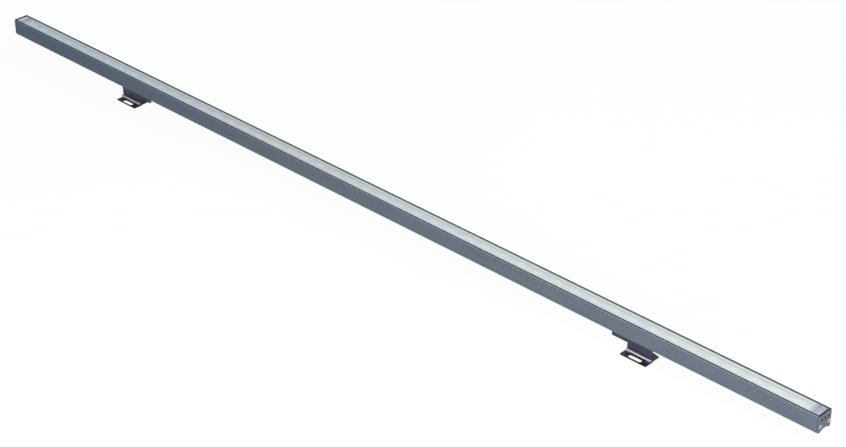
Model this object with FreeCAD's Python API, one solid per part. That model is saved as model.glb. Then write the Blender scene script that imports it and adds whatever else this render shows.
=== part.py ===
import FreeCAD, Part

import math
import os

# ---------------------------------------------------------------------------
# Driving dimensions, mm.
# Working frame while modelling: X along the bar with 0 at mid length,
# Y from the front (-) to the back (+) with 0 on the housing centre plane,
# Z up with 0 on the underside of the housing.
# keep() moves every piece into the delivered frame at the end.
# ---------------------------------------------------------------------------
V = FreeCAD.Vector

# overall bar
BAR_LENGTH = 1000.0
BAR_WIDTH = 16.0
BAR_HEIGHT = 16.0
BAR_CORNER_RADIUS = 0.5

# housing extrusion
SIDE_WALL = 1.3
RIM_WALL = 1.2
CHANNEL_MOUTH_WIDTH = 10.0
CHANNEL_INNER_WIDTH = 12.4
CHANNEL_LIP = 1.0
CHANNEL_TOP = 2.6
FLOOR_WEB = 1.2
LEDGE_REACH = 1.2
LEDGE_THICKNESS = 1.0
LEDGE_TOP = 12.1
SCREW_PORT_Y = 5.8
SCREW_PORT_Z = 5.7
SCREW_PORT_OUTER_RADIUS = 1.6
END_MILLED_LENGTH = 12.0

# end caps, their gaskets and screws
CAP_THICKNESS = 1.1
CAP_LOWER_CORNER_RADIUS = 1.2
CAP_ARCH_WIDTH = 11.8
CAP_ARCH_HEIGHT = 2.1
END_GASKET_THICKNESS = 0.7
END_GASKET_INSET = 0.2
END_SCREW_RADIUS = 1.0
END_SCREW_LENGTH = 10.0
END_SCREW_HEAD_RADIUS = 1.8
END_SCREW_DRIVE_FLATS = 1.3
END_SCREW_DRIVE_DEPTH = 0.7
THREAD_CLEARANCE = 0.05
SCREW_HOLE_CLEARANCE = 0.2

# cover glass and its seal
GLASS_THICKNESS = 3.0
GLASS_BELOW_RIM = 0.5
GLASS_SEAL_WIDTH = 0.7
GLASS_SEAL_BELOW_GLASS_TOP = 0.15

# optic
TRAY_END_CLEARANCE = 0.2
TRAY_FLANGE_THICKNESS = 0.4
TRAY_FLANGE_HALF_WIDTH = 6.6
TRAY_HALF_WIDTH = 5.3
TRAY_WALL = 0.6
TRAY_BOTTOM = 7.4
TRAY_SEAT_THICKNESS = 0.5
TRAY_SEAT_REACH = 1.2
OPTIC_TOP = 11.6
OPTIC_SIDE_CLEARANCE = 0.1
OPTIC_GROOVE_RADIUS = 2.4

# light engine
PAD_THICKNESS = 0.5
BOARD_END_FROM_TRAY_END = 1.0
BOARD_WIDTH = 5.9
BOARD_THICKNESS = 1.0
BOARD_MIDDLE_GAP = 2.0
LED_PITCH = 20.3
LED_LENGTH = 3.5
LED_WIDTH = 2.8
LED_HEIGHT = 0.7
LEDS_PER_DRIVER = 6
DRIVER_LENGTH = 3.9
DRIVER_WIDTH = 4.2
DRIVER_HEIGHT = 1.2
BOARD_LINK_LENGTH = 8.0
BOARD_LINK_WIDTH = 3.6
BOARD_LINK_HEIGHT = 1.3

# link sockets
SOCKET_PITCH = 4.2
SOCKET_Z = 11.3
SOCKET_MOUTH_RADIUS = 0.85
SOCKET_BLOCK_LENGTH = 9.6
SOCKET_TOP_WALL = 0.2
SOCKET_SIDE_WALL = 0.23
SOCKET_BOTTOM_WALL = 0.43
SOCKET_SIDE_STEP = 0.2
SOCKET_BOTTOM_STEP = 0.4
SOCKET_NOSE_SINK = 0.5
CONTACT_OUTER_RADIUS = 0.85
CONTACT_WALL = 0.2
CONTACT_LENGTH = 6.0
CONTACT_FROM_NOSE_FACE = 3.0
CONTACT_TAIL = 0.8
PART_FIT = 0.02
SEAL_FIT = 0.1
HIDDEN_ROUND_SIDES = 12
OVERCUT = 1.0

# leads
LEAD_RADIUS = 0.5
SIDE_LEAD_Y = 6.1
SIDE_LEAD_Z = 11.9
SIDE_LEAD_START_FROM_CAP = 1.2
LEAD_DROP_FROM_CAP = 10.8
LEAD_LANDING_FROM_BOARD_END = 4.0
LEAD_LANDING_PITCH = 1.7

# brackets: two mirrored units, each modelled round x = 0 with +X towards the bar's end
BRACKET_X = 321.6
ARM_SHEET = 1.2
ARM_INNER_X = -11.4
ARM_OUTER_X = 13.2
ARM_OVERHANG = 17.5
ARM_BAND_BOTTOM = -7.8
ARM_BOTTOM = -13.5
ARM_FRONT_Y = -2.5
ARM_FLANGE_REAR_Y = 5.5
ARM_BEND_INNER_RADIUS = 0.5
ARM_CORNER_RADIUS = 0.4
SLIDE_CLEARANCE = 0.15
NUT_HEAD_WIDTH = 12.0
NUT_HEAD_TOP = 2.4
NUT_NECK_WIDTH = 9.6
NUT_END_INSET = 2.3
CLAMP_SCREW_RADIUS = 1.5
CLAMP_SCREW_LENGTH = 3.6
CLAMP_SCREW_HEAD_RADIUS = 2.6
CLAMP_SCREW_HEAD_HEIGHT = 1.2
CLAMP_SCREW_DRIVE_FLATS = 2.0
CLAMP_SCREW_DRIVE_DEPTH = 0.7
CLAMP_SCREW_Y = 2.4
CLAMP_SCREW_OFFSETS = (-21.0, 4.0)

# hinge: two lugs on the foot, one barrel on the arm, one pin through all three
HINGE_Y = -3.5
HINGE_Z = -13.7
HINGE_INNER_X = -11.9
HINGE_OUTER_X = 13.2
KNUCKLE_RADIUS = 1.3
LUG_LENGTH = 4.6
LUG_SADDLE_WIDTH = 1.8
ARM_TO_LUG_CLEARANCE = 0.3
PIN_RADIUS = 0.8
PIN_RUNNING_CLEARANCE = 0.05
PIN_HEAD_RADIUS = 1.15
PIN_HEAD_HEIGHT = 0.5
WASHER_THICKNESS = 0.25
WASHER_OUTER_RADIUS = 1.15
WASHER_END_CLEARANCE = 0.05

# foot
FOOT_SHEET = 0.9
FOOT_HALF_LENGTH = 13.5
FOOT_TOP_Z = -15.3
FOOT_FRONT_Y = -10.6
FOOT_REAR_Y = 7.5
FOOT_BEND_INNER_RADIUS = 0.3
FOOT_CORNER_RADIUS = 0.8
FOOT_SLOT_WIDTH = 4.2
FOOT_SLOT_LENGTH = 13.6
FOOT_SLOT_Y = -7.3
EAR_TOP_Z = -6.4
EAR_REAR_Z = -15.1
EAR_TOP_RADIUS = 0.8
EAR_TO_ARM_CLEARANCE = 0.25

# ---------------------------------------------------------------------------
# Values that follow from the dimensions above
# ---------------------------------------------------------------------------
HALF_WIDTH = BAR_WIDTH / 2
CAP_INNER_X = BAR_LENGTH / 2 - CAP_THICKNESS
HOUSING_END_X = CAP_INNER_X - END_GASKET_THICKNESS
CAVITY_HALF_WIDTH = HALF_WIDTH - SIDE_WALL
POCKET_HALF_WIDTH = HALF_WIDTH - RIM_WALL
CAVITY_BOTTOM = CHANNEL_TOP + FLOOR_WEB
LEDGE_HALF_WIDTH = CAVITY_HALF_WIDTH - LEDGE_REACH
GLASS_TOP = BAR_HEIGHT - GLASS_BELOW_RIM
GLASS_BOTTOM = GLASS_TOP - GLASS_THICKNESS
GLASS_HALF_WIDTH = POCKET_HALF_WIDTH - GLASS_SEAL_WIDTH
GLASS_END_X = HOUSING_END_X - GLASS_SEAL_WIDTH
BOARD_BOTTOM = CAVITY_BOTTOM + PAD_THICKNESS
BOARD_TOP = BOARD_BOTTOM + BOARD_THICKNESS
CONTACT_INNER_RADIUS = CONTACT_OUTER_RADIUS - CONTACT_WALL
CONTACT_BORE_RADIUS = CONTACT_OUTER_RADIUS + PART_FIT
SOCKET_TOP = SOCKET_Z + CONTACT_BORE_RADIUS + SOCKET_TOP_WALL
SOCKET_NOSE_BOTTOM = SOCKET_Z - CONTACT_BORE_RADIUS - SOCKET_BOTTOM_WALL
SOCKET_NOSE_HALF_WIDTH = SOCKET_PITCH + CONTACT_BORE_RADIUS + SOCKET_SIDE_WALL
TRAY_END_X = HOUSING_END_X - END_MILLED_LENGTH - TRAY_END_CLEARANCE
BOARD_INNER_X = BOARD_MIDDLE_GAP / 2
BOARD_OUTER_X = TRAY_END_X - BOARD_END_FROM_TRAY_END
LED_COUNT_PER_BOARD = int((BOARD_OUTER_X - LED_LENGTH / 2) / LED_PITCH + 0.5)
DRIVER_COUNT_PER_BOARD = LED_COUNT_PER_BOARD // LEDS_PER_DRIVER
DRIVER_PITCH = LEDS_PER_DRIVER * LED_PITCH
OPTIC_HALF_WIDTH = TRAY_HALF_WIDTH - TRAY_WALL - OPTIC_SIDE_CLEARANCE
OPTIC_BOTTOM = TRAY_BOTTOM + TRAY_SEAT_THICKNESS
ARM_REAR_Y = ARM_FRONT_Y + ARM_SHEET
BAND_INNER_X = ARM_INNER_X - ARM_OVERHANG
LUG_SPANS = (
    (HINGE_INNER_X, HINGE_INNER_X + LUG_LENGTH),
    (HINGE_OUTER_X - LUG_LENGTH, HINGE_OUTER_X),
)
KNUCKLE_GAP = WASHER_THICKNESS + WASHER_END_CLEARANCE
BARREL_INNER_X = LUG_SPANS[0][1] + KNUCKLE_GAP
BARREL_OUTER_X = LUG_SPANS[1][0] - KNUCKLE_GAP
EAR_INNER_X = FOOT_HALF_LENGTH - FOOT_SHEET
EAR_FRONT_Y = ARM_REAR_Y + EAR_TO_ARM_CLEARANCE
FOOT_BOTTOM_Z = FOOT_TOP_Z - FOOT_SHEET
FRAME_SHIFT = V(0, -(FOOT_FRONT_Y + HALF_WIDTH) / 2, -FOOT_BOTTOM_Z)


# ---------------------------------------------------------------------------
# Shape helpers
# ---------------------------------------------------------------------------
def box(x0, x1, y0, y1, z0, z1):
    return Part.makeBox(x1 - x0, y1 - y0, z1 - z0, V(x0, y0, z0))


def rod(x0, x1, y, z, radius):
    """Round bar along X."""
    return Part.makeCylinder(radius, x1 - x0, V(x0, y, z), V(1, 0, 0))


def post(x, y, z0, z1, radius):
    """Round bar along Z."""
    return Part.makeCylinder(radius, z1 - z0, V(x, y, z0), V(0, 0, 1))


def prism(points, x0, x1):
    """Polygon given as (y, z) points, extruded along X."""
    corners = [V(x0, y, z) for y, z in points]
    outline = Part.makePolygon(corners + corners[:1])
    return Part.Face(outline).extrude(V(x1 - x0, 0, 0))


def round_long_edges(shape, radius, test):
    """Round the edges that run along X at a (y, z) place that passes the test."""
    chosen = []
    for edge in shape.Edges:
        first = edge.Vertexes[0].Point
        last = edge.Vertexes[-1].Point
        along_x = abs(first.y - last.y) < 1e-6 and abs(first.z - last.z) < 1e-6
        if along_x and test(first.y, first.z):
            chosen.append(edge)
    return shape.makeFillet(radius, chosen)


def rounded_square(x0, x1, inset, lower_radius, upper_radius):
    """Square bar outline along X, set in from the housing outline."""
    half = HALF_WIDTH - inset
    shape = box(x0, x1, -half, half, inset, BAR_HEIGHT - inset)
    shape = round_long_edges(shape, upper_radius, lambda y, z: z > HALF_WIDTH)
    return round_long_edges(shape, lower_radius, lambda y, z: z < HALF_WIDTH)


def polygon_outline(centre, along, flat_radius, sides):
    """Closed regular polygon square to along; flat_radius reaches the middle of a side."""
    way = V(along)
    way.normalize()
    side = V(0, 1, 0)
    other = way.cross(side)
    corner_radius = flat_radius / math.cos(math.pi / sides)
    corners = []
    for step in range(sides):
        angle = 2 * math.pi * (step + 0.5) / sides
        corners.append(
            centre + side * (corner_radius * math.cos(angle))
            + other * (corner_radius * math.sin(angle))
        )
    return Part.makePolygon(corners + corners[:1])


def polygon_bar(centre, along, flat_radius, sides):
    return Part.Face(polygon_outline(centre, along, flat_radius, sides)).extrude(along)


def hidden_rod(x0, x1, y, z, radius):
    """Small round bar along X that stays out of sight, with flat sides."""
    return polygon_bar(V(x0, y, z), V(x1 - x0, 0, 0), radius, HIDDEN_ROUND_SIDES)


def hidden_post(x, y, z0, z1, radius):
    """Small round bar along Z that stays out of sight, with flat sides."""
    return polygon_bar(V(x, y, z0), V(0, 0, z1 - z0), radius, HIDDEN_ROUND_SIDES)


def hex_recess(centre, along, flats):
    """Hexagonal recess that starts at centre and reaches as far as along."""
    return polygon_bar(centre, along, flats / 2, 6)


def lead(points):
    """Insulated lead along straight stretches, with mitred bends."""
    profile = polygon_outline(
        points[0], points[1] - points[0], LEAD_RADIUS, HIDDEN_ROUND_SIDES
    )
    path = Part.makePolygon(points)
    mitred = 1
    return path.makePipeShell([profile], True, False, mitred)


def mirrored(shape):
    """The same piece at the other end of the bar."""
    return shape.mirror(V(0, 0, 0), V(1, 0, 0))


def keep(node, shape):
    """Write one piece in the delivered frame."""
    placed = shape.copy()
    placed.translate(FRAME_SHIFT)
    placed.exportStep("parts/" + node + ".step")


def keep_pair(name, right_shape):
    keep(name + "_right", right_shape)
    keep(name + "_left", mirrored(right_shape))


# ---------------------------------------------------------------------------
# Housing: one extrusion with glass ledges, screw ports and an undercut channel
# ---------------------------------------------------------------------------
def channel_cutter(x0, x1):
    mouth = CHANNEL_MOUTH_WIDTH / 2
    inner = CHANNEL_INNER_WIDTH / 2
    below = -OVERCUT
    return prism(
        [
            (-mouth, below),
            (mouth, below),
            (mouth, CHANNEL_LIP),
            (inner, CHANNEL_LIP),
            (inner, CHANNEL_TOP),
            (-inner, CHANNEL_TOP),
            (-inner, CHANNEL_LIP),
            (-mouth, CHANNEL_LIP),
        ],
        x0,
        x1,
    )


def housing():
    end = HOUSING_END_X
    shape = rounded_square(-end, end, 0.0, BAR_CORNER_RADIUS, BAR_CORNER_RADIUS)
    ledge_bottom = LEDGE_TOP - LEDGE_THICKNESS
    above = BAR_HEIGHT + OVERCUT
    cavity = prism(
        [
            (-CAVITY_HALF_WIDTH, CAVITY_BOTTOM),
            (CAVITY_HALF_WIDTH, CAVITY_BOTTOM),
            (CAVITY_HALF_WIDTH, ledge_bottom),
            (LEDGE_HALF_WIDTH, ledge_bottom),
            (LEDGE_HALF_WIDTH, LEDGE_TOP),
            (POCKET_HALF_WIDTH, LEDGE_TOP),
            (POCKET_HALF_WIDTH, above),
            (-POCKET_HALF_WIDTH, above),
            (-POCKET_HALF_WIDTH, LEDGE_TOP),
            (-LEDGE_HALF_WIDTH, LEDGE_TOP),
            (-LEDGE_HALF_WIDTH, ledge_bottom),
            (-CAVITY_HALF_WIDTH, ledge_bottom),
        ],
        -end,
        end,
    )
    shape = shape.cut(cavity).cut(channel_cutter(-end, end))
    ports = []
    bores = []
    for side in (-1, 1):
        y = side * SCREW_PORT_Y
        ports.append(rod(-end, end, y, SCREW_PORT_Z, SCREW_PORT_OUTER_RADIUS))
        bores.append(rod(-end, end, y, SCREW_PORT_Z, END_SCREW_RADIUS + THREAD_CLEARANCE))
    shape = shape.fuse(ports).cut(bores)
    for side in (-1, 1):
        outer = side * end
        inner = side * (end - END_MILLED_LENGTH)
        shape = shape.cut(
            box(
                min(outer, inner),
                max(outer, inner),
                -CAVITY_HALF_WIDTH,
                CAVITY_HALF_WIDTH,
                ledge_bottom,
                LEDGE_TOP,
            )
        )
    return shape.removeSplitter()


# ---------------------------------------------------------------------------
# Cover glass and the closed seal round it
# ---------------------------------------------------------------------------
def cover_glass():
    return box(
        -GLASS_END_X,
        GLASS_END_X,
        -GLASS_HALF_WIDTH,
        GLASS_HALF_WIDTH,
        GLASS_BOTTOM,
        GLASS_TOP,
    )


def glass_gasket():
    top = GLASS_TOP - GLASS_SEAL_BELOW_GLASS_TOP
    outside = box(
        -HOUSING_END_X,
        HOUSING_END_X,
        -POCKET_HALF_WIDTH,
        POCKET_HALF_WIDTH,
        GLASS_BOTTOM,
        top,
    )
    return outside.cut(cover_glass())


# ---------------------------------------------------------------------------
# Right end: cap, gasket, screws, link socket with its contacts and leads
# ---------------------------------------------------------------------------
def arch_cutter(x0, x1):
    """Cylinder along X whose top forms the shallow arch in the lower edge."""
    half = CAP_ARCH_WIDTH / 2
    radius = (half ** 2 + CAP_ARCH_HEIGHT ** 2) / (2 * CAP_ARCH_HEIGHT)
    return rod(x0, x1, 0, CAP_ARCH_HEIGHT - radius, radius)


def socket_positions():
    return [step * SOCKET_PITCH for step in (-1, 0, 1)]


def socket_nose(x0, x1, clearance):
    half = SOCKET_NOSE_HALF_WIDTH + clearance
    return box(
        x0,
        x1,
        -half,
        half,
        SOCKET_NOSE_BOTTOM - clearance,
        SOCKET_TOP + clearance,
    )


def end_cap():
    outer_x = BAR_LENGTH / 2
    shape = rounded_square(
        CAP_INNER_X, outer_x, 0.0, CAP_LOWER_CORNER_RADIUS, BAR_CORNER_RADIUS
    )
    shape = shape.cut(arch_cutter(CAP_INNER_X, outer_x))
    pocket_end = CAP_INNER_X + SOCKET_NOSE_SINK + PART_FIT
    shape = shape.cut(socket_nose(CAP_INNER_X, pocket_end, PART_FIT))
    for y in socket_positions():
        shape = shape.cut(rod(CAP_INNER_X, outer_x, y, SOCKET_Z, SOCKET_MOUTH_RADIUS))
    for side in (-1, 1):
        shape = shape.cut(end_screw_head(side * SCREW_PORT_Y, PART_FIT))
    return shape


def end_gasket():
    shape = rounded_square(
        HOUSING_END_X,
        CAP_INNER_X,
        END_GASKET_INSET,
        CAP_LOWER_CORNER_RADIUS,
        BAR_CORNER_RADIUS,
    )
    shape = shape.cut(arch_cutter(HOUSING_END_X, CAP_INNER_X))
    shape = shape.cut(socket_nose(HOUSING_END_X, CAP_INNER_X, SEAL_FIT))
    for side in (-1, 1):
        shape = shape.cut(
            hidden_rod(
                HOUSING_END_X,
                CAP_INNER_X,
                side * SCREW_PORT_Y,
                SCREW_PORT_Z,
                END_SCREW_RADIUS + SCREW_HOLE_CLEARANCE,
            )
        )
    return shape


def end_screw_head(y, clearance):
    """Countersunk head as deep as the cap, flush with its outer face."""
    return Part.makeCone(
        END_SCREW_HEAD_RADIUS + clearance,
        END_SCREW_RADIUS + clearance,
        CAP_THICKNESS,
        V(BAR_LENGTH / 2, y, SCREW_PORT_Z),
        V(-1, 0, 0),
    )


def end_screws():
    face_x = BAR_LENGTH / 2
    screws = []
    for side in (-1, 1):
        y = side * SCREW_PORT_Y
        shank = hidden_rod(
            face_x - END_SCREW_LENGTH, CAP_INNER_X, y, SCREW_PORT_Z, END_SCREW_RADIUS
        )
        screw = shank.fuse(end_screw_head(y, 0.0))
        recess = hex_recess(
            V(face_x, y, SCREW_PORT_Z),
            V(-END_SCREW_DRIVE_DEPTH, 0, 0),
            END_SCREW_DRIVE_FLATS,
        )
        screws.append(screw.cut(recess).removeSplitter())
    return Part.makeCompound(screws)


def contact_span():
    """Inner and outer x of the brass sleeves."""
    outer_x = CAP_INNER_X + SOCKET_NOSE_SINK - CONTACT_FROM_NOSE_FACE
    return outer_x - CONTACT_LENGTH, outer_x


def link_socket():
    inner_x = HOUSING_END_X - SOCKET_BLOCK_LENGTH
    nose_face_x = CAP_INNER_X + SOCKET_NOSE_SINK
    half = SOCKET_NOSE_HALF_WIDTH + SOCKET_SIDE_STEP
    bottom = SOCKET_NOSE_BOTTOM - SOCKET_BOTTOM_STEP
    block = box(inner_x, HOUSING_END_X, -half, half, bottom, SOCKET_TOP)
    shape = block.fuse(socket_nose(HOUSING_END_X, nose_face_x, 0.0))
    for y in socket_positions():
        shape = shape.cut(hidden_rod(inner_x, nose_face_x, y, SOCKET_Z, CONTACT_BORE_RADIUS))
    return shape.removeSplitter()


def socket_contacts():
    inner_x, outer_x = contact_span()
    sleeves = []
    for y in socket_positions():
        sleeve = hidden_rod(inner_x, outer_x, y, SOCKET_Z, CONTACT_OUTER_RADIUS)
        bore = hidden_rod(inner_x + CONTACT_TAIL, outer_x, y, SOCKET_Z, CONTACT_INNER_RADIUS)
        sleeves.append(sleeve.cut(bore))
    return Part.makeCompound(sleeves)


def supply_leads():
    """Two leads from the contacts and one along the rear ledge, down to the board."""
    landing_x = BOARD_OUTER_X - LEAD_LANDING_FROM_BOARD_END
    landing_z = BOARD_TOP + LEAD_RADIUS
    drop_x = HOUSING_END_X - LEAD_DROP_FROM_CAP
    contact_x = contact_span()[0]
    leads = []
    for number, y in enumerate(socket_positions()[:2]):
        landing_y = (number - 1) * LEAD_LANDING_PITCH
        leads.append(
            lead(
                [
                    V(contact_x, y, SOCKET_Z),
                    V(drop_x, y, SOCKET_Z),
                    V(drop_x, landing_y, landing_z),
                    V(landing_x, landing_y, landing_z),
                ]
            )
        )
    leads.append(
        lead(
            [
                V(HOUSING_END_X - SIDE_LEAD_START_FROM_CAP, SIDE_LEAD_Y, SIDE_LEAD_Z),
                V(drop_x, SIDE_LEAD_Y, SIDE_LEAD_Z),
                V(drop_x, LEAD_LANDING_PITCH, landing_z),
                V(landing_x, LEAD_LANDING_PITCH, landing_z),
            ]
        )
    )
    return Part.makeCompound(leads)


# ---------------------------------------------------------------------------
# Light engine: pads, boards, emitters, current regulators, link
# ---------------------------------------------------------------------------
def strip(z0, z1):
    return box(
        BOARD_INNER_X,
        BOARD_OUTER_X,
        -BOARD_WIDTH / 2,
        BOARD_WIDTH / 2,
        z0,
        z1,
    )


def led_chips():
    chips = []
    for number in range(LED_COUNT_PER_BOARD):
        x = (number + 0.5) * LED_PITCH
        chips.append(
            box(
                x - LED_LENGTH / 2,
                x + LED_LENGTH / 2,
                -LED_WIDTH / 2,
                LED_WIDTH / 2,
                BOARD_TOP,
                BOARD_TOP + LED_HEIGHT,
            )
        )
    return Part.makeCompound(chips)


def board_drivers():
    drivers = []
    for number in range(DRIVER_COUNT_PER_BOARD):
        x = (number + 0.5) * DRIVER_PITCH
        drivers.append(
            box(
                x - DRIVER_LENGTH / 2,
                x + DRIVER_LENGTH / 2,
                -DRIVER_WIDTH / 2,
                DRIVER_WIDTH / 2,
                BOARD_TOP,
                BOARD_TOP + DRIVER_HEIGHT,
            )
        )
    return Part.makeCompound(drivers)


def board_link():
    return box(
        -BOARD_LINK_LENGTH / 2,
        BOARD_LINK_LENGTH / 2,
        -BOARD_LINK_WIDTH / 2,
        BOARD_LINK_WIDTH / 2,
        BOARD_TOP,
        BOARD_TOP + BOARD_LINK_HEIGHT,
    )


# ---------------------------------------------------------------------------
# Optic: white carrier hung on the ledges, lens bar standing in it
# ---------------------------------------------------------------------------
def optic_tray():
    outer = TRAY_HALF_WIDTH
    inner = TRAY_HALF_WIDTH - TRAY_WALL
    seat = inner - TRAY_SEAT_REACH
    flange = TRAY_FLANGE_HALF_WIDTH
    flange_top = LEDGE_TOP + TRAY_FLANGE_THICKNESS
    end = TRAY_END_X
    seat_top = TRAY_BOTTOM + TRAY_SEAT_THICKNESS
    side = [
        (seat, TRAY_BOTTOM),
        (outer, TRAY_BOTTOM),
        (outer, LEDGE_TOP),
        (flange, LEDGE_TOP),
        (flange, flange_top),
        (inner, flange_top),
        (inner, seat_top),
        (seat, seat_top),
    ]
    rear = prism(side, -end, end)
    front = prism([(-y, z) for y, z in side], -end, end)
    shape = rear.fuse(front)
    bridge_length = TRAY_SEAT_REACH
    for way in (-1, 1):
        outer_x = way * end
        inner_x = way * (end - bridge_length)
        bridge = box(
            min(outer_x, inner_x),
            max(outer_x, inner_x),
            -inner,
            inner,
            TRAY_BOTTOM,
            seat_top,
        )
        shape = shape.fuse(bridge)
    return shape.removeSplitter()


def optic_bar():
    end = TRAY_END_X
    bar = box(-end, end, -OPTIC_HALF_WIDTH, OPTIC_HALF_WIDTH, OPTIC_BOTTOM, OPTIC_TOP)
    groove_end = end - TRAY_SEAT_REACH
    groove = rod(-groove_end, groove_end, 0, OPTIC_BOTTOM, OPTIC_GROOVE_RADIUS)
    return bar.cut(groove)


# ---------------------------------------------------------------------------
# Bracket: folded arm, nut in the channel, three-knuckle hinge and foot
# ---------------------------------------------------------------------------
def hinge_rod(x0, x1, radius):
    return rod(x0, x1, HINGE_Y, HINGE_Z, radius)


def hinge_arm():
    """Folded sheet: flange under the bar, web down to the hinge, long upper band."""
    top = -SLIDE_CLEARANCE
    flange_bottom = top - ARM_SHEET
    shape = prism(
        [
            (ARM_FRONT_Y, ARM_BOTTOM),
            (ARM_FRONT_Y, top),
            (ARM_FLANGE_REAR_Y, top),
            (ARM_FLANGE_REAR_Y, flange_bottom),
            (ARM_REAR_Y, flange_bottom),
            (ARM_REAR_Y, ARM_BOTTOM),
        ],
        BAND_INNER_X,
        ARM_OUTER_X,
    )
    shape = round_long_edges(
        shape,
        ARM_BEND_INNER_RADIUS + ARM_SHEET,
        lambda y, z: y == ARM_FRONT_Y and z == top,
    )
    shape = round_long_edges(
        shape,
        ARM_BEND_INNER_RADIUS,
        lambda y, z: abs(y - ARM_REAR_Y) < PART_FIT and abs(z - flange_bottom) < PART_FIT,
    )
    shape = shape.cut(band_step())
    shape = shape.cut(hinge_rod(BARREL_INNER_X, BARREL_OUTER_X, KNUCKLE_RADIUS))
    for x0, x1 in (
        (HINGE_INNER_X - KNUCKLE_GAP, BARREL_INNER_X),
        (BARREL_OUTER_X, HINGE_OUTER_X + KNUCKLE_GAP),
    ):
        shape = shape.cut(hinge_rod(x0, x1, KNUCKLE_RADIUS + ARM_TO_LUG_CLEARANCE))
    for x in CLAMP_SCREW_OFFSETS:
        hole_radius = CLAMP_SCREW_RADIUS + SCREW_HOLE_CLEARANCE
        shape = shape.cut(hidden_post(x, CLAMP_SCREW_Y, flange_bottom, top, hole_radius))
    return shape


def band_step():
    """What is cut away below the band; its inner corner is rounded."""
    step = box(
        BAND_INNER_X,
        ARM_INNER_X,
        ARM_FRONT_Y,
        ARM_REAR_Y,
        ARM_BOTTOM,
        ARM_BAND_BOTTOM,
    )
    corner = box(
        BAND_INNER_X,
        BAND_INNER_X + ARM_CORNER_RADIUS,
        ARM_FRONT_Y,
        ARM_REAR_Y,
        ARM_BAND_BOTTOM,
        ARM_BAND_BOTTOM + ARM_CORNER_RADIUS,
    )
    rounding = Part.makeCylinder(
        ARM_CORNER_RADIUS,
        ARM_SHEET,
        V(
            BAND_INNER_X + ARM_CORNER_RADIUS,
            ARM_FRONT_Y,
            ARM_BAND_BOTTOM + ARM_CORNER_RADIUS,
        ),
        V(0, 1, 0),
    )
    return step.fuse(corner.cut(rounding))


def clamp_nut():
    """T-shaped strip that slides in the undercut channel and carries the arm."""
    neck = NUT_NECK_WIDTH / 2
    head = NUT_HEAD_WIDTH / 2
    head_bottom = CHANNEL_LIP + SLIDE_CLEARANCE
    shape = prism(
        [
            (-neck, -SLIDE_CLEARANCE),
            (neck, -SLIDE_CLEARANCE),
            (neck, head_bottom),
            (head, head_bottom),
            (head, NUT_HEAD_TOP),
            (-head, NUT_HEAD_TOP),
            (-head, head_bottom),
            (-neck, head_bottom),
        ],
        BAND_INNER_X + NUT_END_INSET,
        ARM_OUTER_X - NUT_END_INSET,
    )
    thread_radius = CLAMP_SCREW_RADIUS + THREAD_CLEARANCE
    for x in CLAMP_SCREW_OFFSETS:
        shape = shape.cut(
            hidden_post(x, CLAMP_SCREW_Y, -SLIDE_CLEARANCE, NUT_HEAD_TOP, thread_radius)
        )
    return shape


def clamp_screws():
    seat_z = -SLIDE_CLEARANCE - ARM_SHEET
    head_z = seat_z - CLAMP_SCREW_HEAD_HEIGHT
    screws = []
    for x in CLAMP_SCREW_OFFSETS:
        shank = hidden_post(
            x, CLAMP_SCREW_Y, seat_z, seat_z + CLAMP_SCREW_LENGTH, CLAMP_SCREW_RADIUS
        )
        head = post(x, CLAMP_SCREW_Y, head_z, seat_z, CLAMP_SCREW_HEAD_RADIUS)
        recess = hex_recess(
            V(x, CLAMP_SCREW_Y, head_z),
            V(0, 0, CLAMP_SCREW_DRIVE_DEPTH),
            CLAMP_SCREW_DRIVE_FLATS,
        )
        screws.append(shank.fuse(head).cut(recess).removeSplitter())
    return Part.makeCompound(screws)


def hinge_barrel():
    tube = hinge_rod(BARREL_INNER_X, BARREL_OUTER_X, KNUCKLE_RADIUS)
    bore = hinge_rod(BARREL_INNER_X, BARREL_OUTER_X, PIN_RADIUS + PIN_RUNNING_CLEARANCE)
    return tube.cut(bore)


def hinge_lugs():
    """Two short tubes on saddles that stand on the foot plate."""
    lugs = []
    half = LUG_SADDLE_WIDTH / 2
    for x0, x1 in LUG_SPANS:
        saddle = box(x0, x1, HINGE_Y - half, HINGE_Y + half, FOOT_TOP_Z, HINGE_Z)
        lug = saddle.fuse(hinge_rod(x0, x1, KNUCKLE_RADIUS))
        lugs.append(lug.cut(hinge_rod(x0, x1, PIN_RADIUS + PART_FIT)).removeSplitter())
    return Part.makeCompound(lugs)


def hinge_pin():
    """Pin with a head at the inner end; it ends flush with the outer lug."""
    head = hinge_rod(HINGE_INNER_X - PIN_HEAD_HEIGHT, HINGE_INNER_X, PIN_HEAD_RADIUS)
    return head.fuse(hinge_rod(HINGE_INNER_X, HINGE_OUTER_X, PIN_RADIUS)).removeSplitter()


def friction_washers():
    washers = []
    for x0 in (LUG_SPANS[0][1], LUG_SPANS[1][0] - WASHER_THICKNESS):
        x1 = x0 + WASHER_THICKNESS
        disc = hidden_rod(x0, x1, HINGE_Y, HINGE_Z, WASHER_OUTER_RADIUS)
        washers.append(disc.cut(hidden_rod(x0, x1, HINGE_Y, HINGE_Z, PIN_RADIUS + PART_FIT)))
    return Part.makeCompound(washers)


def ear(x0, x1):
    """Gusset-shaped ear behind the arm; its rear edge slopes down to the heel."""
    shape = prism(
        [
            (EAR_FRONT_Y, FOOT_TOP_Z),
            (EAR_FRONT_Y, EAR_TOP_Z),
            (FOOT_REAR_Y, EAR_REAR_Z),
            (FOOT_REAR_Y, FOOT_TOP_Z),
        ],
        x0,
        x1,
    )
    return round_long_edges(shape, EAR_TOP_RADIUS, lambda y, z: z == EAR_TOP_Z)


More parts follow.
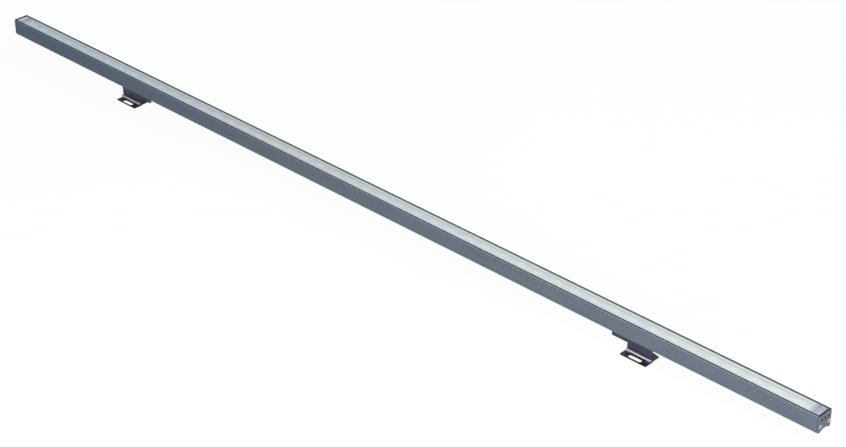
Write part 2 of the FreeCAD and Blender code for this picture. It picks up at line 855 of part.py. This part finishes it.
def fold_cut(way):
    """Corner of the plate that the outside of the fold rounds off."""
    radius = FOOT_BEND_INNER_RADIUS + FOOT_SHEET
    edge_x = way * FOOT_HALF_LENGTH
    centre_x = edge_x - way * radius
    centre_z = FOOT_BOTTOM_Z + radius
    corner = box(
        min(edge_x, centre_x),
        max(edge_x, centre_x),
        EAR_FRONT_Y,
        FOOT_REAR_Y,
        FOOT_BOTTOM_Z,
        centre_z,
    )
    return corner.cut(fold_rounding(centre_x, centre_z, radius))


def fold_fill(way):
    """Material that the inside of the fold leaves between plate and ear."""
    radius = FOOT_BEND_INNER_RADIUS
    wall_x = way * EAR_INNER_X
    centre_x = wall_x - way * radius
    centre_z = FOOT_TOP_Z + radius
    corner = box(
        min(wall_x, centre_x),
        max(wall_x, centre_x),
        EAR_FRONT_Y,
        FOOT_REAR_Y,
        FOOT_TOP_Z,
        centre_z,
    )
    return corner.cut(fold_rounding(centre_x, centre_z, radius))


def fold_rounding(x, z, radius):
    return Part.makeCylinder(radius, FOOT_REAR_Y - EAR_FRONT_Y, V(x, EAR_FRONT_Y, z), V(0, 1, 0))


def foot_slot():
    radius = FOOT_SLOT_WIDTH / 2
    end = FOOT_SLOT_LENGTH / 2 - radius
    slot = box(
        -end, end, FOOT_SLOT_Y - radius, FOOT_SLOT_Y + radius, FOOT_BOTTOM_Z, FOOT_TOP_Z
    )
    rounds = [post(x, FOOT_SLOT_Y, FOOT_BOTTOM_Z, FOOT_TOP_Z, radius) for x in (-end, end)]
    return slot.fuse(rounds).removeSplitter()


def foot():
    """Plate with a slot in front and an ear folded up behind at each end."""
    half = FOOT_HALF_LENGTH
    plate = box(-half, half, FOOT_FRONT_Y, FOOT_REAR_Y, FOOT_BOTTOM_Z, FOOT_TOP_Z)
    front_corners = [
        edge
        for edge in plate.Edges
        if all(vertex.Y == FOOT_FRONT_Y for vertex in edge.Vertexes)
        and edge.Vertexes[0].Z != edge.Vertexes[1].Z
    ]
    plate = plate.makeFillet(FOOT_CORNER_RADIUS, front_corners)
    shape = plate.fuse([ear(-half, -EAR_INNER_X), ear(EAR_INNER_X, half)])
    for way in (-1, 1):
        shape = shape.fuse(fold_fill(way)).cut(fold_cut(way))
    return shape.cut(foot_slot()).removeSplitter()


def keep_bracket_piece(name, shape):
    placed = shape.copy()
    placed.translate(V(BRACKET_X, 0, 0))
    keep_pair(name, placed)


# ---------------------------------------------------------------------------
# Write every piece
# ---------------------------------------------------------------------------
os.makedirs("parts", exist_ok=True)

keep("housing", housing())
keep("cover_glass", cover_glass())
keep("glass_gasket", glass_gasket())
keep("optic_tray", optic_tray())
keep("optic_bar", optic_bar())
keep("board_link", board_link())

keep_pair("end_cap", end_cap())
keep_pair("end_gasket", end_gasket())
keep_pair("end_screws", end_screws())
keep_pair("link_socket", link_socket())
keep_pair("socket_contacts", socket_contacts())
keep_pair("supply_leads", supply_leads())
keep_pair("thermal_pad", strip(CAVITY_BOTTOM, BOARD_BOTTOM))
keep_pair("led_board", strip(BOARD_BOTTOM, BOARD_TOP))
keep_pair("led_chips", led_chips())
keep_pair("board_drivers", board_drivers())

keep_bracket_piece("hinge_arm", hinge_arm())
keep_bracket_piece("clamp_nut", clamp_nut())
keep_bracket_piece("clamp_screws", clamp_screws())
keep_bracket_piece("hinge_barrel", hinge_barrel())
keep_bracket_piece("hinge_lugs", hinge_lugs())
keep_bracket_piece("hinge_pin", hinge_pin())
keep_bracket_piece("friction_washers", friction_washers())
keep_bracket_piece("foot", foot())
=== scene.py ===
import math

import bpy
from mathutils import Matrix, Vector

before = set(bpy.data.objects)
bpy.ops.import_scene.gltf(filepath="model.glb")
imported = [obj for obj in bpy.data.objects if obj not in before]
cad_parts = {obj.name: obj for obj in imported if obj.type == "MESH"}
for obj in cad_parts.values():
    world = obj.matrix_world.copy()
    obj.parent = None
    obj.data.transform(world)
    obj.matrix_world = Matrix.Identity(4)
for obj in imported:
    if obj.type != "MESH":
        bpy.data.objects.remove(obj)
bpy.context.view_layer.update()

MM = 0.001

# ---------------------------------------------------------------------------
# Camera: found by fitting the bar's edges in the photograph
# ---------------------------------------------------------------------------
CAMERA_AZIMUTH = 43.779
CAMERA_ELEVATION = 31.107
CAMERA_ROLL = -0.024
CAMERA_RIGHT = 59.99 * MM
CAMERA_UP = -17.90 * MM
CAMERA_BACK = 1954.0 * MM
CAMERA_ORIGIN = Vector((0.0, -6.7 * MM, 16.2 * MM))
CAMERA_FOCAL_PIXELS = 2174.7
IMAGE_WIDTH_PIXELS = 846
SENSOR_WIDTH = 36.0


def make_camera():
    azimuth = math.radians(CAMERA_AZIMUTH)
    elevation = math.radians(CAMERA_ELEVATION)
    back = Vector((
        math.sin(azimuth) * math.cos(elevation),
        -math.cos(azimuth) * math.cos(elevation),
        math.sin(elevation),
    ))
    level = Vector((math.cos(azimuth), math.sin(azimuth), 0.0))
    upright = back.cross(level)
    turn = math.radians(CAMERA_ROLL)
    right = math.cos(turn) * level + math.sin(turn) * upright
    up = math.cos(turn) * upright - math.sin(turn) * level
    data = bpy.data.cameras.new("camera")
    data.sensor_width = SENSOR_WIDTH
    data.lens = SENSOR_WIDTH * CAMERA_FOCAL_PIXELS / IMAGE_WIDTH_PIXELS
    data.clip_start = 0.05
    data.clip_end = 60.0
    camera = bpy.data.objects.new("camera", data)
    place = CAMERA_ORIGIN + right * CAMERA_RIGHT + up * CAMERA_UP + back * CAMERA_BACK
    camera.matrix_world = Matrix((
        (right.x, up.x, back.x, place.x),
        (right.y, up.y, back.y, place.y),
        (right.z, up.z, back.z, place.z),
        (0.0, 0.0, 0.0, 1.0),
    ))
    bpy.context.scene.collection.objects.link(camera)
    bpy.context.scene.camera = camera


# ---------------------------------------------------------------------------
# Colours
# ---------------------------------------------------------------------------
def linear(red, green, blue):
    """Scene colour for an 8-bit screen colour."""
    def one(value):
        share = value / 255
        if share <= 0.04045:
            return share / 12.92
        return ((share + 0.055) / 1.055) ** 2.4
    return (one(red), one(green), one(blue), 1.0)


def scaled(colour, factor):
    return tuple(min(1.0, part * factor) for part in colour[:3]) + (1.0,)


# ---------------------------------------------------------------------------
# Places on the bar where the colour changes, painted shade and painted highlights among them
# ---------------------------------------------------------------------------
BAR_CENTRE_Y = 1.3 * MM
# painted shade: the bar darker and bluer towards its far end
FAR_END_SHADE_COLOUR = linear(52, 76, 98)
FAR_END_FROM_X = -420.0 * MM
FAR_END_TO_X = -150.0 * MM

# top of the rim: a painted highlight along the rounded edge, a painted dark reflection on the flat
RIM_BLEND = 0.1 * MM
RIM_EDGE_Z = 31.45 * MM
RIM_HIGHLIGHT_COLOUR = linear(150, 156, 164)
RIM_TOP_Z = 31.85 * MM
RIM_TOP_REFLECTION_COLOUR = linear(40, 43, 50)

# link holes: painted shade inside them and on the face around their mouths
LINK_HOLE_PITCH = 4.2 * MM
LINK_HOLE_Z = 27.5 * MM
LINK_HOLE_REACH = 1.08 * MM
LINK_HOLE_INNER_X = 488.7 * MM
LINK_HOLE_OUTER_X = 500.2 * MM
BORE_SHADE_COLOUR = linear(12, 12, 20)

# warm spots in the pane, one over every emitter
LED_PITCH = 20.3 * MM
GLOW_Y = 0.5 * MM
GLOW_HALF_WIDTH = 3.4 * MM
GLOW_SHIFT_X = -2.0 * MM
GLOW_SHARE = 0.5
GLOW_COLOUR = linear(224, 224, 208)

# etched skin of the pane: dull and pale patches, and the colours mixed over them
PANE_DULL = linear(190, 196, 200)
PANE_PALE = linear(210, 211, 207)
PANE_GRAIN = linear(196, 208, 216)
PANE_STREAKS = linear(178, 192, 206)
PANE_BLOTCHES = linear(209, 211, 207)

# place across the pane, -1 at the front edge and 1 at the rear one, and how light it is there:
# painted shade in a dip and at the rear edge, with a painted highlight band between them
PANE_TONES = (
    (-1.00, 0.97), (-0.30, 1.00), (-0.10, 0.94), (0.20, 0.93), (0.50, 0.78), (0.76, 1.02),
    (0.90, 0.97), (1.00, 0.80),
)
PANE_HALF_WIDTH = 6.1 * MM
PANE_COVER = 0.82

# painted shade: towards the far end the pane is bluer
FAR_PANE_SHADE_COLOUR = linear(184, 200, 217)
FAR_PANE_SHADE_SHARE = 0.5

# near both ends the pane is clearer; beyond that it is tinted
PANE_CLEARING = -0.26
CLEARING_STARTS = (486.0 * MM, 489.0 * MM)
CLEARING_ENDS = (492.0 * MM, 494.0 * MM)
NEAR_TINT_STARTS = (489.5 * MM, 492.0 * MM)
NEAR_TINT = linear(150, 153, 176)
NEAR_TINT_SHARE = 0.9
FAR_TINT_STARTS = (-495.9 * MM, -495.4 * MM)
FAR_TINT = linear(228, 231, 243)

# depth of the finest relief in each finish
COAT_GRAIN_DEPTH = 0.02 * MM
METAL_STROKE_DEPTH = 0.01 * MM
MOULDED_SKIN_DEPTH = 0.01 * MM
LENS_RIB_DEPTH = 0.02 * MM
PANE_GRAIN_DEPTH = 0.004 * MM


# ---------------------------------------------------------------------------
# Materials
# ---------------------------------------------------------------------------
class Nodes:
    """Node tree of one new material, with short calls for what repeats."""

    def __init__(self, name):
        self.material = bpy.data.materials.new(name)
        self.material.use_nodes = True
        self.tree = self.material.node_tree
        self.shader = self.tree.nodes["Principled BSDF"]
        self.output = self.tree.nodes["Material Output"]
        self.place = self.add("ShaderNodeTexCoord").outputs["Object"]

    def add(self, kind, **values):
        node = self.tree.nodes.new(kind)
        for key, value in values.items():
            setattr(node, key, value)
        return node

    def link(self, source, target):
        self.tree.links.new(source, target)

    def math(self, operation, *inputs, clamp=False):
        node = self.add("ShaderNodeMath", operation=operation, use_clamp=clamp)
        for index, value in enumerate(inputs):
            if isinstance(value, (int, float)):
                node.inputs[index].default_value = value
            else:
                self.link(value, node.inputs[index])
        return node.outputs[0]

    def noise(self, scale, stretch=(1.0, 1.0, 1.0), detail=3.0, offset=0.0):
        mapping = self.add("ShaderNodeMapping")
        mapping.inputs["Scale"].default_value = stretch
        mapping.inputs["Location"].default_value = (offset, offset, offset)
        self.link(self.place, mapping.inputs["Vector"])
        noise = self.add("ShaderNodeTexNoise")
        noise.inputs["Scale"].default_value = scale
        noise.inputs["Detail"].default_value = detail
        self.link(mapping.outputs["Vector"], noise.inputs["Vector"])
        return noise.outputs["Fac"]

    def spread(self, source, low, high, source_low=0.3, source_high=0.7):
        """Values from low to high as the source goes over its usual range."""
        node = self.add("ShaderNodeMapRange")
        node.inputs["From Min"].default_value = source_low
        node.inputs["From Max"].default_value = source_high
        node.inputs["To Min"].default_value = low
        node.inputs["To Max"].default_value = high
        self.link(source, node.inputs["Value"])
        return node.outputs["Result"]

    def mix(self, factor, first, second):
        node = self.add("ShaderNodeMix", data_type="RGBA")
        values = ((node.inputs[0], factor), (node.inputs[6], first), (node.inputs[7], second))
        for socket, value in values:
            if isinstance(value, (int, float, tuple)):
                socket.default_value = value
            else:
                self.link(value, socket)
        return node.outputs[2]

    def bump(self, height, distance, strength=1.0, below=None):
        node = self.add("ShaderNodeBump")
        node.inputs["Strength"].default_value = strength
        node.inputs["Distance"].default_value = distance
        self.link(height, node.inputs["Height"])
        if below is not None:
            self.link(below, node.inputs["Normal"])
        return node.outputs["Normal"]

    def axes(self):
        """x, y and z on the piece."""
        parts = self.add("ShaderNodeSeparateXYZ")
        self.link(self.place, parts.inputs[0])
        return parts.outputs

    def in_bore(self):
        """1 on the walls of the three link holes at either end, 0 elsewhere."""
        x, y, z = self.axes()
        inside = 0.0
        for step in (-1, 0, 1):
            across = self.math("SUBTRACT", y, BAR_CENTRE_Y + step * LINK_HOLE_PITCH)
            above = self.math("SUBTRACT", z, LINK_HOLE_Z)
            square = self.math("MULTIPLY", across, across)
            square = self.math("MULTIPLY_ADD", above, above, square)
            inside = self.math("ADD", inside, self.math("LESS_THAN", square, LINK_HOLE_REACH ** 2))
        beyond = self.math("GREATER_THAN", self.math("ABSOLUTE", x), LINK_HOLE_INNER_X)
        short = self.math("LESS_THAN", self.math("ABSOLUTE", x), LINK_HOLE_OUTER_X)
        return self.math("MULTIPLY", inside, self.math("MULTIPLY", beyond, short))

    def set(self, **sockets):
        for key, value in sockets.items():
            socket = self.shader.inputs[key.replace("_", " ")]
            if isinstance(value, (int, float, tuple)):
                socket.default_value = value
            else:
                self.link(value, socket)
        return self.material


def powder_coat(name, colour, contrast, roughness, rim=False):
    """Fine-grained coating with faint lines along the piece; rim adds the bar's painted light:
    painted shade towards the far end, a painted highlight on the rim's edge, a painted dark
    reflection on its flat top and painted shade in the link holes.
    """
    n = Nodes(name)
    grain = n.noise(1500.0, detail=2.0)
    lines = n.noise(1.0, stretch=(3.0, 900.0, 900.0), detail=2.0)
    cloud = n.noise(22.0, stretch=(1.0, 2.0, 2.0), detail=4.0, offset=3.1)
    tone = n.math("ADD", n.spread(grain, -0.5, 0.5), n.spread(lines, -0.35, 0.35))
    tone = n.math("ADD", tone, n.spread(cloud, -0.4, 0.4))
    share = n.math("MULTIPLY_ADD", tone, 0.5, 0.5, clamp=True)
    base = n.mix(share, scaled(colour, 1 - contrast), scaled(colour, 1 + contrast))
    shine = 0.22
    if rim:
        x, _, z = n.axes()
        # painted shade: darker and bluer towards the far end
        base = n.mix(n.spread(x, 0.5, 0.0, FAR_END_FROM_X, FAR_END_TO_X), base, FAR_END_SHADE_COLOUR)
        # painted highlight along the rim's rounded edge
        rim_highlight = n.spread(z, 0.0, 0.7, RIM_EDGE_Z, RIM_EDGE_Z + RIM_BLEND)
        base = n.mix(rim_highlight, base, RIM_HIGHLIGHT_COLOUR)
        # painted dark reflection on the rim's flat top
        rim_top_reflection = n.spread(z, 0.0, 1.0, RIM_TOP_Z, RIM_TOP_Z + RIM_BLEND)
        rim_top_reflection_colour = n.mix(share, scaled(RIM_TOP_REFLECTION_COLOUR, 0.8), scaled(RIM_TOP_REFLECTION_COLOUR, 1.2))
        base = n.mix(rim_top_reflection, base, rim_top_reflection_colour)
        # painted shade inside the link holes and around their mouths
        bore_shade = n.in_bore()
        base = n.mix(bore_shade, base, BORE_SHADE_COLOUR)
        shine = n.spread(n.math("MAXIMUM", rim_top_reflection, bore_shade), shine, 0.02, 0.0, 1.0)
    rough = n.spread(grain, roughness - 0.05, roughness + 0.05)
    normal = n.bump(grain, COAT_GRAIN_DEPTH, 0.6)
    normal = n.bump(lines, COAT_GRAIN_DEPTH / 2, 0.4, below=normal)
    return n.set(Base_Color=base, Roughness=rough, Normal=normal, Specular_IOR_Level=shine)


def brushed_metal(name, colour, roughness, stretch):
    n = Nodes(name)
    strokes = n.noise(700.0, stretch=stretch, detail=4.0)
    specks = n.noise(260.0, detail=3.0, offset=1.7)
    base = n.mix(n.spread(specks, 0.0, 1.0), scaled(colour, 0.88), scaled(colour, 1.08))
    rough = n.spread(strokes, roughness - 0.08, roughness + 0.1)
    normal = n.bump(strokes, METAL_STROKE_DEPTH, 0.5)
    return n.set(Base_Color=base, Roughness=rough, Normal=normal, Metallic=1.0)


def moulded(name, colour, roughness, contrast=0.06, bore_shade=False):
    """Moulded plastic, rubber or lacquer with a fine skin; the bore switch adds painted shade
    inside the link holes.
    """
    n = Nodes(name)
    skin = n.noise(1800.0, detail=3.0)
    patches = n.noise(60.0, detail=3.0, offset=5.3)
    patchy = n.spread(patches, 0.2, 0.8)
    share = n.math("MULTIPLY_ADD", n.spread(skin, -0.5, 0.5), 0.5, patchy, clamp=True)
    base = n.mix(share, scaled(colour, 1 - contrast), scaled(colour, 1 + contrast))
    # painted shade inside the link holes and around their mouths
    if bore_shade:
        base = n.mix(n.in_bore(), base, BORE_SHADE_COLOUR)
    rough = n.spread(skin, roughness - 0.06, roughness + 0.06)
    return n.set(Base_Color=base, Roughness=rough, Normal=n.bump(skin, MOULDED_SKIN_DEPTH, 0.5))


def lens_material():
    """Frosted lens bar under the pane."""
    n = Nodes("lens_frost")
    milky = n.noise(90.0, stretch=(1.0, 3.0, 3.0), detail=3.0)
    ribs = n.noise(1.0, stretch=(420.0, 12.0, 12.0), detail=2.0)
    base = n.mix(n.spread(milky, 0.0, 1.0), linear(200, 212, 220), linear(210, 221, 228))
    base = n.mix(n.spread(ribs, 0.0, 0.35), base, linear(188, 200, 210))
    rough = n.spread(milky, 0.42, 0.55)
    return n.set(Base_Color=base, Roughness=rough, Normal=n.bump(ribs, LENS_RIB_DEPTH, 0.5))


def warm_spots(n, x, y):
    """How far each place of the pane takes the glow's colour: a soft spot over every emitter."""
    turn = 2 * math.pi / LED_PITCH
    turns = n.math("MULTIPLY_ADD", x, turn, math.pi - turn * GLOW_SHIFT_X)
    wave = n.math("MULTIPLY_ADD", n.math("COSINE", turns), 0.5, 0.5)
    wave = n.math("POWER", wave, 2.0)
    across = n.math("DIVIDE", n.math("SUBTRACT", y, GLOW_Y), GLOW_HALF_WIDTH)
    across = n.math("SUBTRACT", 1.0, n.math("MULTIPLY", across, across), clamp=True)
    return n.math("MULTIPLY", n.math("MULTIPLY", wave, across), GLOW_SHARE)


def tone_across(n, y):
    """Grey level of each place across the pane, as PANE_TONES gives it: bands of painted shade and
    a painted highlight band.
    """
    tone = n.add("ShaderNodeValToRGB")
    front_y = BAR_CENTRE_Y - PANE_HALF_WIDTH
    rear_y = BAR_CENTRE_Y + PANE_HALF_WIDTH
    n.link(n.spread(y, 0.0, 1.0, front_y, rear_y), tone.inputs[0])
    ramp = tone.color_ramp
    while len(ramp.elements) < len(PANE_TONES):
        ramp.elements.new(0.5)
    for element, (place, level) in zip(ramp.elements, PANE_TONES):
        element.position = (place + 1) / 2
        element.color = (level, level, level, 1.0)
    return tone.outputs[0]


def pane_colour(n, x, smear, grain, glow):
    """Colour of the etched skin, from the ground up to the tints at both ends."""
    streaks = n.noise(1.0, stretch=(9.0, 1100.0, 1100.0), detail=2.0, offset=2.2)
    blotches = n.noise(1.0, stretch=(150.0, 620.0, 620.0), detail=3.0, offset=7.7)
    # painted shade: the pane bluer towards the far end
    far_shade = n.spread(x, FAR_PANE_SHADE_SHARE, 0.0, FAR_END_FROM_X, FAR_END_TO_X)
    colour = n.mix(n.spread(smear, 0.0, 1.0), PANE_DULL, PANE_PALE)
    colour = n.mix(n.spread(grain, 0.0, 0.3), colour, PANE_GRAIN)
    colour = n.mix(n.spread(streaks, 0.0, 0.7), colour, PANE_STREAKS)
    colour = n.mix(n.spread(blotches, 0.0, 0.55), colour, PANE_BLOTCHES)
    colour = n.mix(far_shade, colour, FAR_PANE_SHADE_COLOUR)
    colour = n.mix(glow, colour, GLOW_COLOUR)
    colour = n.mix(n.spread(x, 0.0, NEAR_TINT_SHARE, *NEAR_TINT_STARTS), colour, NEAR_TINT)
    return n.mix(n.spread(x, 1.0, 0.0, *FAR_TINT_STARTS), colour, FAR_TINT)


def pane_cover(n, x):
    """How much the etching hides of what lies below; less close to both ends."""
    away = n.math("ABSOLUTE", x)
    begun = n.spread(away, 0.0, 1.0, *CLEARING_STARTS)
    going_on = n.spread(away, 1.0, 0.0, *CLEARING_ENDS)
    return n.math("MULTIPLY_ADD", n.math("MULTIPLY", begun, going_on), PANE_CLEARING, PANE_COVER)


def pane_material():
    """Etched pane: pale over its whole width, with a faint warm spot over every emitter."""
    n = Nodes("etched_glass")
    x, y = n.axes()[:2]
    smear = n.noise(60.0, stretch=(1.0, 2.5, 2.5), detail=4.0)
    grain = n.noise(1400.0, detail=2.0)
    base = n.add("ShaderNodeMix", data_type="RGBA", blend_type="MULTIPLY")
    base.inputs[0].default_value = 1.0
    n.link(pane_colour(n, x, smear, grain, warm_spots(n, x, y)), base.inputs[6])
    n.link(tone_across(n, y), base.inputs[7])
    return n.set(
        Base_Color=base.outputs[2],
        Roughness=n.spread(smear, 0.28, 0.38),
        Normal=n.bump(grain, PANE_GRAIN_DEPTH, 0.4),
        Alpha=pane_cover(n, x),
    )


def phosphor_material():
    n = Nodes("led_phosphor")
    parts = n.noise(900.0, detail=2.0)
    base = n.mix(n.spread(parts, 0.0, 1.0), linear(236, 214, 120), linear(245, 228, 150))
    return n.set(Base_Color=base, Roughness=n.spread(parts, 0.25, 0.4))


def dress_nodes():
    """Give every CAD node its material."""
    coat = powder_coat("body_paint", linear(77, 84, 95), 0.16, 0.45, rim=True)
    arm = powder_coat("arm_paint", linear(44, 46, 60), 0.12, 0.4)
    foot = powder_coat("foot_paint", linear(28, 27, 37), 0.15, 0.42)
    seal = moulded("dark_seal", linear(58, 62, 70), 0.65)
    steel = brushed_metal("stainless", linear(205, 203, 212), 0.34, (0.2, 1.0, 1.0))
    knuckle = brushed_metal("hinge_steel", linear(176, 171, 186), 0.5, (0.2, 1.0, 1.0))
    zinc = brushed_metal("zinc_steel", linear(170, 170, 176), 0.45, (1.0, 0.4, 1.0))
    brass = brushed_metal("contact_brass", linear(214, 176, 104), 0.3, (0.3, 1.0, 1.0))
    looks = {
        "housing": coat,
        "end_cap": coat,
        "cover_glass": pane_material(),
        "glass_gasket": seal,
        "end_gasket": seal,
        "end_screws": steel,
        "link_socket": moulded("socket_plastic", linear(186, 190, 212), 0.45, bore_shade=True),
        "socket_contacts": brass,
        "supply_leads": moulded("lead_jacket", linear(22, 22, 26), 0.4),
        "thermal_pad": moulded("pad_rubber", linear(150, 156, 164), 0.7),
        "led_board": moulded("board_white", linear(228, 230, 228), 0.35),
        "led_chips": phosphor_material(),
        "board_drivers": moulded("chip_black", linear(28, 28, 30), 0.5),
        "board_link": moulded("link_plastic", linear(214, 216, 214), 0.45),
        "optic_tray": moulded("tray_white", linear(222, 228, 234), 0.4),
        "optic_bar": lens_material(),
        "hinge_arm": arm,
        "clamp_nut": zinc,
        "clamp_screws": steel,
        "hinge_barrel": knuckle,
        "hinge_lugs": knuckle,
        "hinge_pin": knuckle,
        "friction_washers": steel,
        "foot": foot,
    }
    for node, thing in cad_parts.items():
        base = node
        for tail in ("_left", "_right"):
            if node.endswith(tail):
                base = node[: -len(tail)]
        for slot in thing.material_slots:
            slot.material = looks[base]


# ---------------------------------------------------------------------------
# Stage: pale floor, soft lamps and a white surround
# ---------------------------------------------------------------------------
FLOOR_HALF = 8.0
FLOOR_BELOW = 0.1 * MM
WHITE_SHARE = 0.92
AMBIENT = 0.59
SURROUND_WHITE = (0.985, 0.985, 0.985, 1.0)
SURROUND_TINT = (0.8, 0.92, 1.0, 1.0)


def seen_plainly(n):
    """1 for rays from the camera, mirrors and glass, 0 for the light that falls on things."""
    rays = n.add("ShaderNodeLightPath")
    total = n.math("ADD", rays.outputs["Is Camera Ray"], rays.outputs["Is Glossy Ray"])
    return n.math("ADD", total, rays.outputs["Is Transmission Ray"], clamp=True)


def make_floor():
    mesh = bpy.data.meshes.new("floor")
    signs = ((-1, -1), (1, -1), (1, 1), (-1, 1))
    corners = [(x * FLOOR_HALF, y * FLOOR_HALF, -FLOOR_BELOW) for x, y in signs]
    mesh.from_pydata(corners, [], [(0, 1, 2, 3)])
    floor = bpy.data.objects.new("floor", mesh)
    bpy.context.scene.collection.objects.link(floor)
    n = Nodes("floor_pale")
    mottle = n.noise(6.0, detail=2.0)
    n.set(
        Base_Color=n.mix(n.spread(mottle, 0.0, 1.0), linear(240, 240, 241), linear(243, 243, 244)),
        Roughness=0.9,
        Specular_IOR_Level=0.1,
    )
    glow = n.add("ShaderNodeEmission")
    blend = n.add("ShaderNodeMixShader")
    n.link(n.math("MULTIPLY", seen_plainly(n), WHITE_SHARE), blend.inputs[0])
    n.link(n.shader.outputs[0], blend.inputs[1])
    n.link(glow.outputs[0], blend.inputs[2])
    n.link(blend.outputs[0], n.output.inputs["Surface"])
    mesh.materials.append(n.material)


def make_world():
    world = bpy.data.worlds.new("surround")
    world.use_nodes = True
    bpy.context.scene.world = world
    tree = world.node_tree
    back = tree.nodes["Background"]
    rays = tree.nodes.new("ShaderNodeLightPath")
    total = rays.outputs["Is Camera Ray"]
    for name in ("Is Glossy Ray", "Is Transmission Ray"):
        add = tree.nodes.new("ShaderNodeMath")
        add.operation = "ADD"
        add.use_clamp = True
        tree.links.new(total, add.inputs[0])
        tree.links.new(rays.outputs[name], add.inputs[1])
        total = add.outputs[0]
    strength = tree.nodes.new("ShaderNodeMapRange")
    strength.inputs["To Min"].default_value = AMBIENT
    strength.inputs["To Max"].default_value = 1.0
    tree.links.new(total, strength.inputs["Value"])
    tree.links.new(strength.outputs["Result"], back.inputs["Strength"])
    tint = tree.nodes.new("ShaderNodeMix")
    tint.data_type = "RGBA"
    tint.inputs[6].default_value = SURROUND_TINT
    tint.inputs[7].default_value = SURROUND_WHITE
    tree.links.new(total, tint.inputs[0])
    tree.links.new(tint.outputs[2], back.inputs["Color"])


def softbox(name, place, target, width, height, power, colour):
    data = bpy.data.lights.new(name, "AREA")
    data.shape = "RECTANGLE"
    data.size = width
    data.size_y = height
    data.energy = power
    data.color = colour
    lamp = bpy.data.objects.new(name, data)
    lamp.location = place
    lamp.rotation_mode = "QUATERNION"
    lamp.rotation_quaternion = (Vector(target) - Vector(place)).to_track_quat("-Z", "Y")
    bpy.context.scene.collection.objects.link(lamp)


def make_lamps():
    softbox("key", (0.9, -0.3, 1.7), (0.2, 0.0, 0.0), 1.2, 1.0, 11.2, (1.0, 0.95, 0.88))
    softbox("front", (0.38, -0.75, 0.25), (0.25, 0.0, 0.02), 0.7, 0.3, 6.3, (1.0, 0.96, 0.91))
    softbox("end", (1.1, -0.2, 0.3), (0.5, 0.0, 0.02), 0.4, 0.3, 3.2, (1.0, 0.95, 0.9))
    softbox("back", (-0.4, 1.4, 1.3), (0.0, 0.0, 0.0), 1.6, 0.8, 8.0, (0.95, 0.98, 1.0))


bpy.context.scene.view_settings.view_transform = "Standard"
make_camera()
dress_nodes()
make_floor()
make_world()
make_lamps()
